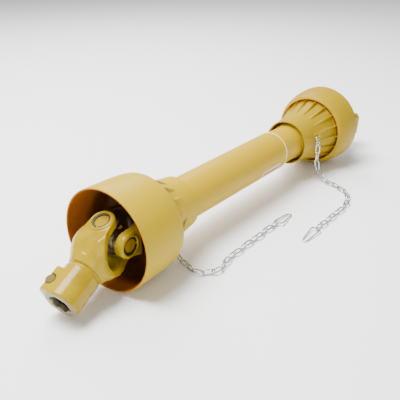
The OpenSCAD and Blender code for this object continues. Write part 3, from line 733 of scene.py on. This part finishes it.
class LinkTree:
    """A Geometry Nodes tree that sets a bent-wire link on every point, turned by the point's own angles."""

    def __init__(self, finish: Finish) -> None:
        """Builds the tree.

        Args:
            finish: the finish that the links get.
        """
        self.tree = bpy.data.node_groups.new("chain_links", "GeometryNodeTree")
        face = self.tree.interface
        face.new_socket("Geometry", in_out="INPUT", socket_type="NodeSocketGeometry")
        face.new_socket("Geometry", in_out="OUTPUT", socket_type="NodeSocketGeometry")
        self.inputs = {
            name: face.new_socket(name, in_out="INPUT", socket_type="NodeSocketFloat").identifier
            for name in ("Wire Radius", "Centre Length", "Centre Width", "Weld Radius")
        }
        entry, leave = self._node("NodeGroupInput"), self._node("NodeGroupOutput")
        outline = self._node("GeometryNodeCurvePrimitiveQuadrilateral")
        self._link(entry, "Centre Length", outline, "Width")
        self._link(entry, "Centre Width", outline, "Height")
        half = self._node("ShaderNodeMath")
        half.operation = "MULTIPLY"
        half.inputs[1].default_value = 0.499
        self._link(entry, "Centre Width", half, 0)
        bend = self._node("GeometryNodeFilletCurve")
        bend.mode = "POLY"
        bend.inputs["Count"].default_value = 7
        self._link(outline, "Curve", bend, "Curve")
        self._link(half, 0, bend, "Radius")
        section = self._node("GeometryNodeCurvePrimitiveCircle")
        section.inputs["Resolution"].default_value = 12
        self._link(entry, "Wire Radius", section, "Radius")
        sweep = self._node("GeometryNodeCurveToMesh")
        self._link(bend, "Curve", sweep, "Curve")
        self._link(section, "Curve", sweep, "Profile Curve")
        bead = self._node("GeometryNodeMeshUVSphere")
        bead.inputs["Segments"].default_value = 12
        bead.inputs["Rings"].default_value = 8
        self._link(entry, "Weld Radius", bead, "Radius")
        side = self._node("ShaderNodeCombineXYZ")
        lift = self._node("ShaderNodeMath")
        lift.operation = "MULTIPLY"
        lift.inputs[1].default_value = 0.5
        self._link(entry, "Centre Width", lift, 0)
        self._link(lift, 0, side, "Y")
        shift = self._node("GeometryNodeTransform")
        self._link(bead, "Mesh", shift, "Geometry")
        self._link(side, "Vector", shift, "Translation")
        join = self._node("GeometryNodeJoinGeometry")
        self._link(sweep, "Mesh", join, "Geometry")
        self._link(shift, "Geometry", join, "Geometry")
        turn = self._node("GeometryNodeInputNamedAttribute")
        turn.data_type = "FLOAT_VECTOR"
        turn.inputs["Name"].default_value = "turn"
        place = self._node("GeometryNodeInstanceOnPoints")
        self._link(entry, "Geometry", place, "Points")
        self._link(join, "Geometry", place, "Instance")
        self._link(turn, "Attribute", place, "Rotation")
        real = self._node("GeometryNodeRealizeInstances")
        self._link(place, "Instances", real, "Geometry")
        flat = self._node("GeometryNodeSetShadeSmooth")
        self._link(real, "Geometry", flat, "Geometry")
        paint = self._node("GeometryNodeSetMaterial")
        paint.inputs["Material"].default_value = finish.material()
        self._link(flat, "Geometry", paint, "Geometry")
        self._link(paint, "Geometry", leave, "Geometry")

    def _node(self, kind: str) -> bpy.types.Node:
        """Adds a node."""
        return self.tree.nodes.new(kind)

    def _link(self, source: bpy.types.Node, out: str | int, target: bpy.types.Node, into: str | int) -> None:
        """Joins an output to an input."""
        self.tree.links.new(source.outputs[out], target.inputs[into])

    def apply(self, piece: bpy.types.Object, size: LinkSize) -> bpy.types.Object:
        """Puts the links on a piece's points and makes them a plain mesh.

        Args:
            piece: a mesh of points with a turn attribute.
            size: the sizes of a link.

        Returns:
            The same piece.
        """
        modifier = piece.modifiers.new("links", "NODES")
        modifier.node_group = self.tree
        modifier[self.inputs["Wire Radius"]] = size.wire / 2
        modifier[self.inputs["Centre Length"]] = size.inside + size.wire
        modifier[self.inputs["Centre Width"]] = size.width - size.wire
        modifier[self.inputs["Weld Radius"]] = size.weld
        return applied(piece)


@dataclass
class ChainRun:
    """A run of chain links that stands in for a chain node, link for link.

    Attributes:
        node: the node that it replaces.
        body: the body that it moves with.
        size: the sizes of a link.
    """

    node: str
    body: str
    size: LinkSize = field(default_factory=LinkSize)

    def build(self, links: LinkTree) -> bpy.types.Object:
        """Builds and dresses the run.

        Args:
            links: the tree that makes the links.

        Returns:
            The finished piece.
        """
        frames = self._frames()
        mesh = bpy.data.meshes.new(f"{self.node}_links")
        mesh.from_pydata([f.translation for f in frames], [], [])
        turns = mesh.attributes.new("turn", "FLOAT_VECTOR", "POINT")
        turns.data.foreach_set("vector", [a for f in frames for a in f.to_euler("XYZ")])
        piece = links.apply(add_object(f"{self.node}_links", mesh), self.size)
        dress(piece, ZINC)
        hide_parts(self.node)
        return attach(piece, self.body)

    def _frames(self) -> list[Matrix]:
        """The place and the turn of each link, from the directions of the node's solids."""
        copy = merged_copy(self.node, "link_guide")
        work = bmesh.new()
        work.from_mesh(copy.data)
        left = set(work.verts)
        frames = []
        while left:
            island, edge = set(), [next(iter(left))]
            while edge:
                point = edge.pop()
                if point in island:
                    continue
                island.add(point)
                edge += [e.other_vert(point) for e in point.link_edges]
            left -= island
            places = np.array([v.co for v in island])
            low, high = places.min(0), places.max(0)
            centre = self._middle(places)
            _, turns = np.linalg.eigh(np.cov((places - centre).T))
            long, wide = Vector(turns[:, 2]), Vector(turns[:, 1])
            turn = Matrix((long, wide, long.cross(wide))).transposed().to_4x4()
            frames.append((float(low[0] + high[0]), Matrix.Translation(Vector(centre)) @ turn))
        work.free()
        bpy.data.objects.remove(copy)
        return [f for _, f in sorted(frames, key=lambda pair: pair[0])]

    @staticmethod
    def _middle(places: np.ndarray) -> np.ndarray:
        """The middle of a link, which is symmetric: halfway between its extremes along its own directions."""
        _, turns = np.linalg.eigh(np.cov((places - places.mean(0)).T))
        local = places @ turns
        return turns @ ((local.min(0) + local.max(0)) / 2)


# ---------------------------------------------------------------------------
# Studio
# ---------------------------------------------------------------------------


@dataclass
class Studio:
    """The floor, the lights and the camera."""

    azimuth: float = 36.82
    descent: float = 26.08
    place: tuple[float, float, float] = (-875.3 * MM, -531.5 * MM, 513.8 * MM)
    lens: float = 54.89
    shift: tuple[float, float] = (-0.0096, 0.02)
    floor_size: float = 16.0

    def build(self) -> None:
        """Builds the studio."""
        self._floor()
        self._world()
        self._lamp("key", (-0.7, 0.5, 2.2), 1.2, 150.0)
        self._lamp("fill", (-1.6, -1.4, 1.0), 1.4, 14.0)
        self._lamp("back", (0.9, 1.3, 1.7), 1.4, 60.0)
        self._camera()

    def _floor(self) -> None:
        """A plain pale floor."""
        half = self.floor_size / 2
        mesh = bpy.data.meshes.new("floor")
        corners = [(-half, -half, 0), (half, -half, 0), (half, half, 0), (-half, half, 0)]
        mesh.from_pydata(corners, [], [(0, 1, 2, 3)])
        floor = add_object("floor", mesh)
        dress(floor, FLOOR_WHITE)

    @staticmethod
    def _world() -> None:
        """Even white light from all round."""
        world = bpy.data.worlds.new("studio")
        world.use_nodes = True
        world.node_tree.nodes["Background"].inputs["Color"].default_value = (1.0, 1.0, 1.0, 1.0)
        world.node_tree.nodes["Background"].inputs["Strength"].default_value = 0.45
        bpy.context.scene.world = world

    @staticmethod
    def _lamp(name: str, place: tuple[float, float, float], size: float, power: float) -> None:
        """A square soft light that looks at the part."""
        data = bpy.data.lights.new(name, "AREA")
        data.size = size
        data.energy = power
        lamp = bpy.data.objects.new(name, data)
        lamp.location = place
        lamp.rotation_euler = (Vector((0, 0, 0.08)) - Vector(place)).to_track_quat("-Z", "Y").to_euler()
        bpy.context.scene.collection.objects.link(lamp)

    def _camera(self) -> None:
        """The camera at the photograph's angle."""
        data = bpy.data.cameras.new("camera")
        data.lens = self.lens
        data.shift_x, data.shift_y = self.shift
        camera = bpy.data.objects.new("camera", data)
        a, e = math.radians(self.azimuth), math.radians(self.descent)
        ahead = Vector((math.cos(a) * math.cos(e), math.sin(a) * math.cos(e), -math.sin(e)))
        camera.location = self.place
        camera.rotation_euler = ahead.to_track_quat("-Z", "Y").to_euler()
        bpy.context.scene.collection.objects.link(camera)
        bpy.context.scene.camera = camera


YOKE_BODIES = ((End.NEAR, "near_yoke_set", "drive_outer"), (End.FAR, "far_yoke_set", "drive_inner"))
CHAIN_BODIES = (
    ("near_chain", "near_chain_set"), ("far_chain_drop", "far_drop_set"), ("far_chain", "far_chain_set"),
)


def dress_nodes() -> None:
    """Gives every CAD node its finish."""
    for name, node in frame["nodes"].items():
        kind = next(k for k in sorted(NODE_FINISH, key=len, reverse=True) if name.endswith(k))
        dress(node, NODE_FINISH[kind])


def main() -> None:
    """Builds the whole scene."""
    logging.basicConfig(level=logging.INFO, format="%(name)s %(message)s")
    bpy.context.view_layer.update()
    dress_nodes()
    made: list[bpy.types.Object] = []
    for end, outer, inner in YOKE_BODIES:
        made.append(Forging(end, "outer_yoke", outer).build())
        made.append(Forging(end, "inner_yoke", inner).build())
        made.append(Bell(end, BODY_LEN[end]).build())
    made.append(StepRing().build())
    made += Sticker().build()
    links = LinkTree(ZINC)
    for node, body in CHAIN_BODIES:
        made.append(ChainRun(node, body).build(links))
    Studio().build()
    for piece in made:
        LOG.info("%s: %d faces", piece.name, len(piece.data.polygons))


if __name__ == "__main__":
    main()
